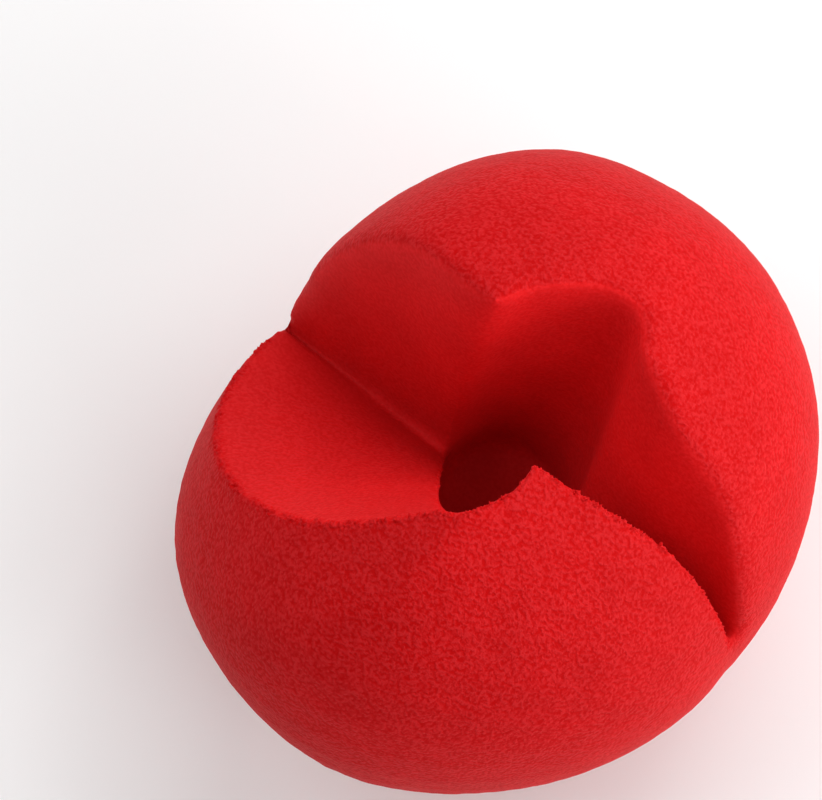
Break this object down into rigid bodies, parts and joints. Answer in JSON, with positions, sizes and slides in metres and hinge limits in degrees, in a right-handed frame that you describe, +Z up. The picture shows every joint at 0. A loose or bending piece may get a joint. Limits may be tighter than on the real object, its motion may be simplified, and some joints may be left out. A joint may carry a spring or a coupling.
{
  "type": "clown nose",
  "caption": "Soft foam ball nose with a slit across its back and a bore for the wearer's nose, held spread open as it is just before it is put on.",
  "frame": {"origin": "middle of the small flat patch at the front of the nose, which it rests on", "axes": "+Z up, out of the back of the nose where the slit and the bore open; +X along the slit, towards its narrow end; +Y across the slit, towards the half with the deeper side of the bore"},
  "size_m": [0.0496, 0.0586, 0.0491],
  "materials": {
    "red_foam": "matt open-cell foam"
  },
  "bodies": {
    "root": {"foam_ball": "red_foam"}
  },
  "joints": []
}
